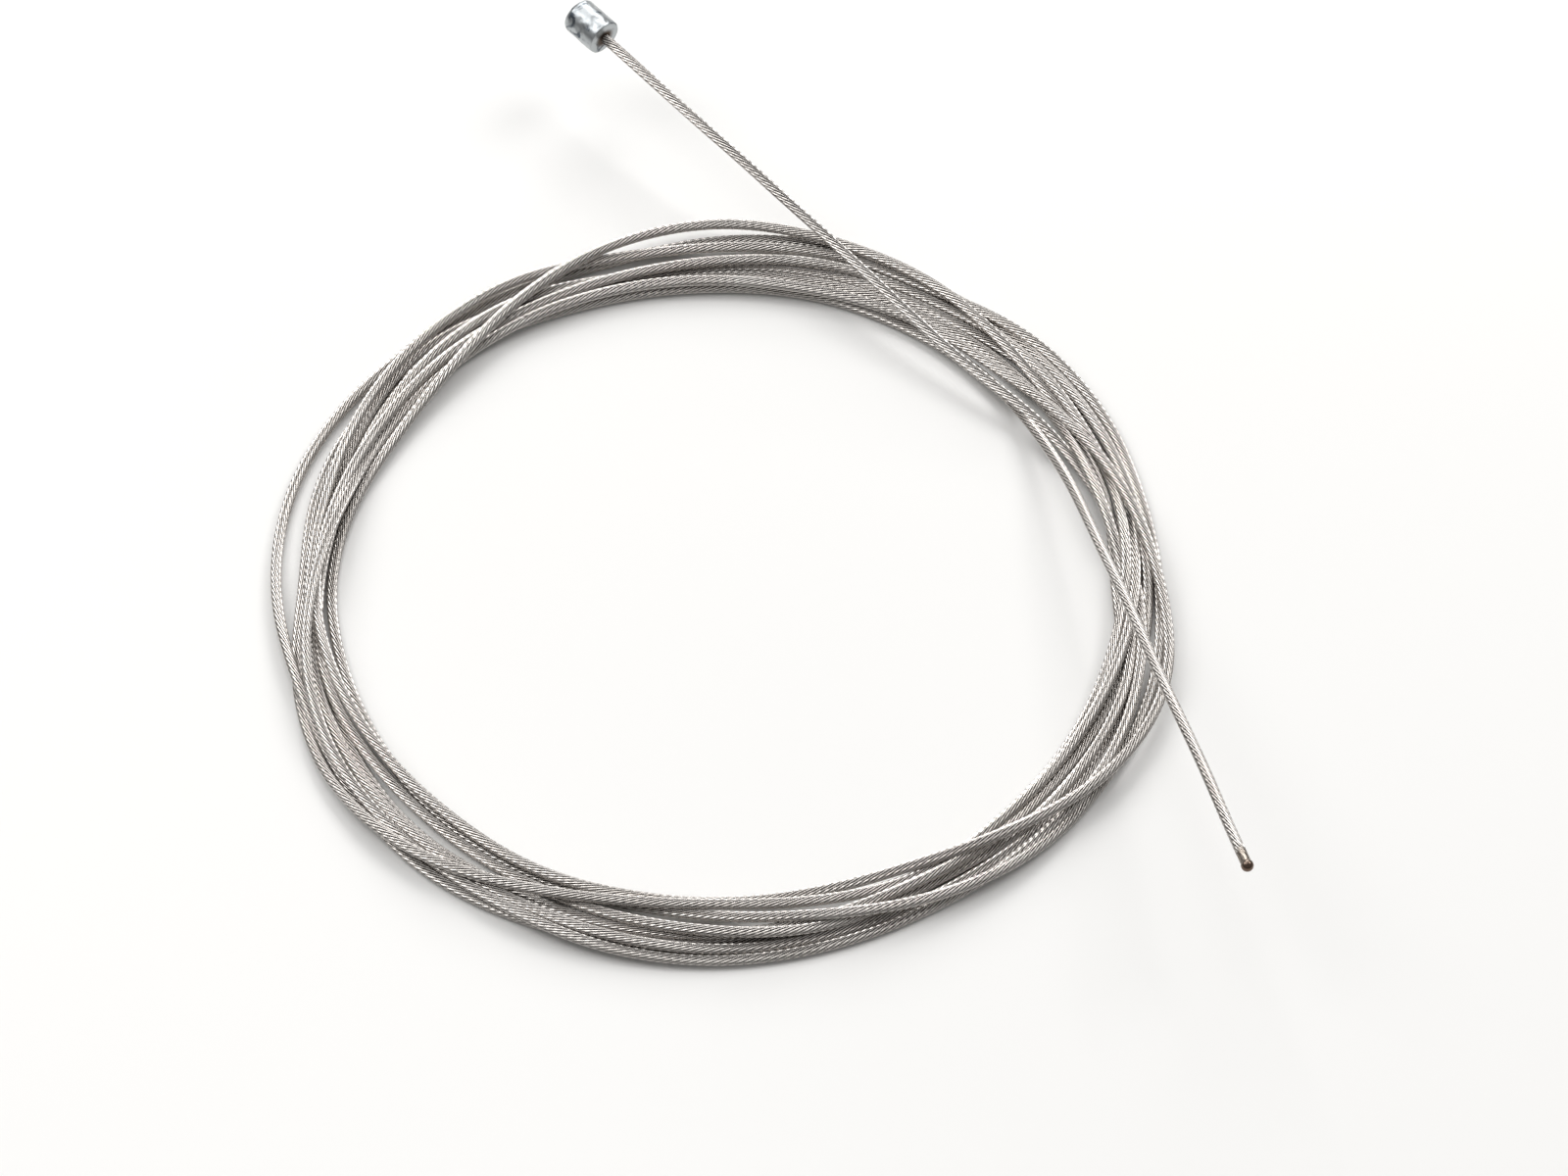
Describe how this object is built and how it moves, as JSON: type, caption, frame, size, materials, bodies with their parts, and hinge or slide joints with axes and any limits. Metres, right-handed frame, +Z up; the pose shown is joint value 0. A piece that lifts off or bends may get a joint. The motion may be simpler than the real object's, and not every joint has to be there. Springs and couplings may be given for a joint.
{
  "type": "shift cable",
  "caption": "Bicycle gear cable: a thin stranded steel wire with a cast barrel head on one end and a fused tip on the other, loosely coiled.",
  "frame": {"origin": "on the surface that the coil lies on, under the middle of the part's footprint", "axes": "+Z up; +Y away from the viewer, to the side of the coil where the head is; +X to the viewer's right"},
  "size_m": [0.1038, 0.1232, 0.0158],
  "materials": {
    "cast_zinc": "die-cast zinc, bright, slightly rough, with a little dark flash where the strand leaves",
    "strand_steel": "drawn stainless wires laid in a rope, warm grey with bright wire-by-wire glints",
    "fused_steel": "steel fused by a weld, smooth and slightly browned"
  },
  "bodies": {
    "root": {"head": "cast_zinc", "head_tail": "strand_steel", "coil": "strand_steel", "tip_tail": "strand_steel", "welded_tip": "fused_steel"}
  },
  "joints": []
}
